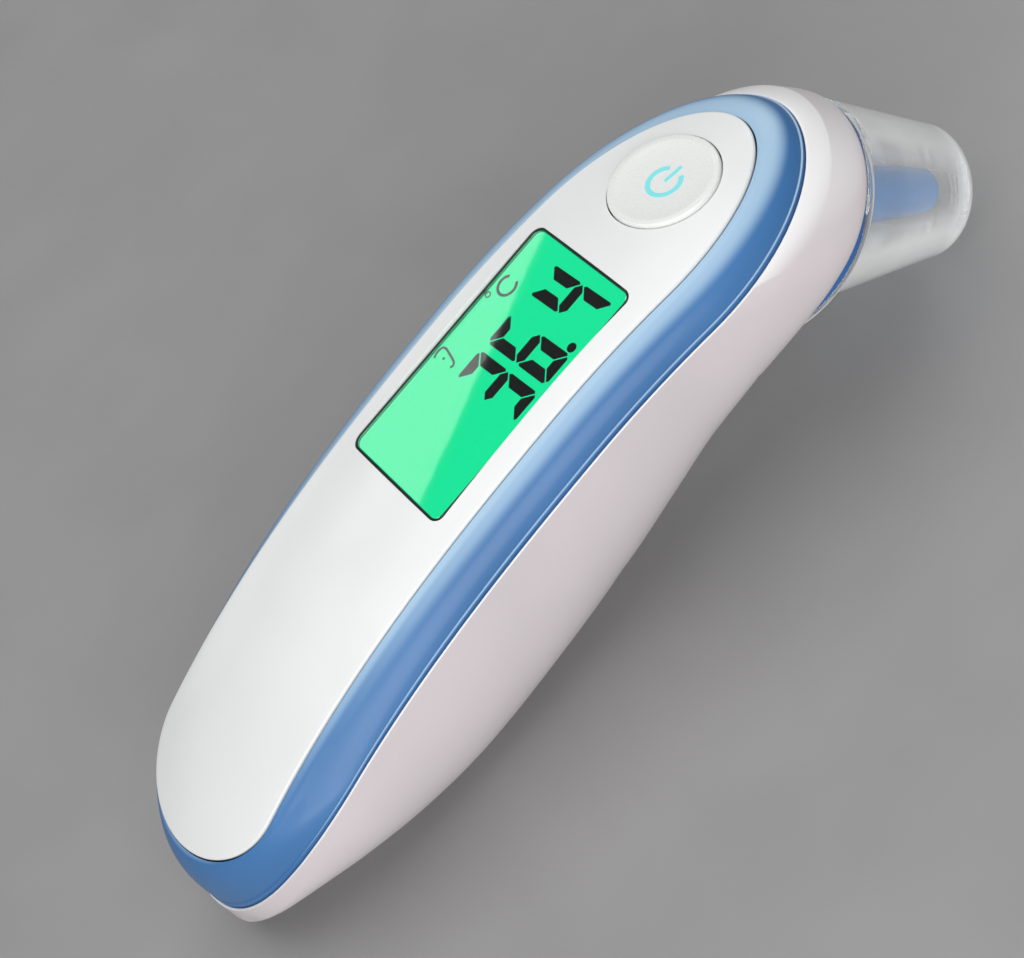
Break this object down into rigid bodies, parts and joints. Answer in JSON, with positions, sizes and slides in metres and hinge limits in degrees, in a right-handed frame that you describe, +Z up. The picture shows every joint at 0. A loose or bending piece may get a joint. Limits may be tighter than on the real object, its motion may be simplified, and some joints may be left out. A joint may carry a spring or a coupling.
{
  "type": "digital thermometer",
  "caption": "Handheld infrared ear thermometer: curved white body with a blue trim band, green lit display, round power button and clear probe cap.",
  "frame": {"origin": "centre of the bounding box at ground level, with the thermometer lying face up on its back and cap tip", "axes": "+Z up, +Y along the handle towards the head, +X across the handle to its right"},
  "size_m": [0.0408, 0.1553, 0.0478],
  "materials": {
    "shell_white": "gloss white ABS",
    "panel_white": "gloss white ABS",
    "band_blue": "gloss blue, slightly translucent",
    "button_white": "satin white",
    "symbol_cyan": "printed mark",
    "window_clear": "clear acrylic window",
    "gasket_black": "black printed gasket",
    "collar_blue": "gloss blue",
    "nose_blue": "gloss blue",
    "cap_clear": "clear polycarbonate",
    "inner_white": "moulded inner part",
    "cell_jacket": "plain jacket",
    "contact_metal": "nickel-plated spring steel",
    "board_green": "circuit board",
    "lcd_glass": "liquid crystal cell",
    "segment_black": "dark figures",
    "light_guide": "lit light guide",
    "carbon_rubber": "zebra rubber",
    "chip_black": "moulded package",
    "tube_gold": "gold-plated tube",
    "ribbon_amber": "polyimide ribbon",
    "lens_dark": "infrared window"
  },
  "bodies": {
    "casing": {"rear_shell": "shell_white", "trim_band": "band_blue", "front_panel": "panel_white", "window_gasket": "gasket_black", "lcd_window": "window_clear", "probe_collar": "collar_blue", "probe_base": "inner_white", "probe_nose": "nose_blue", "probe_window": "lens_dark", "battery_tray": "inner_white", "left_cell": "cell_jacket", "right_cell": "cell_jacket", "contact_springs": "contact_metal", "contact_plates": "contact_metal", "main_board": "board_green", "lcd_cell": "lcd_glass", "lcd_segments": "segment_black", "backlight": "light_guide", "lcd_frame": "inner_white", "zebra_strips": "carbon_rubber", "dome_switch": "contact_metal", "controller_chip": "chip_black", "buzzer": "chip_black", "sensor_sleeve": "contact_metal", "sensor_can": "contact_metal", "waveguide_tube": "tube_gold", "sensor_ribbon": "ribbon_amber", "board_screws": "contact_metal", "base_screws": "contact_metal"},
    "button": {"power_button": "button_white", "button_symbol": "symbol_cyan"},
    "cap": {"probe_cap": "cap_clear"},
    "door": {"battery_door": "shell_white"}
  },
  "joints": [
    {"name": "button_press", "type": "slide", "parent": "casing", "child": "button", "axis": [0, -0.0906, -0.9959], "range_m": [0, 0.0006], "stiffness_N_per_m": 1500},
    {"name": "cap_pull", "type": "slide", "parent": "casing", "child": "cap", "axis": [0, 0.6874, -0.7262], "range_m": [0, 0.04]},
    {"name": "door_lift", "type": "slide", "parent": "casing", "child": "door", "axis": [0, 0.1345, -0.9909], "range_m": [0, 0.03]}
  ]
}
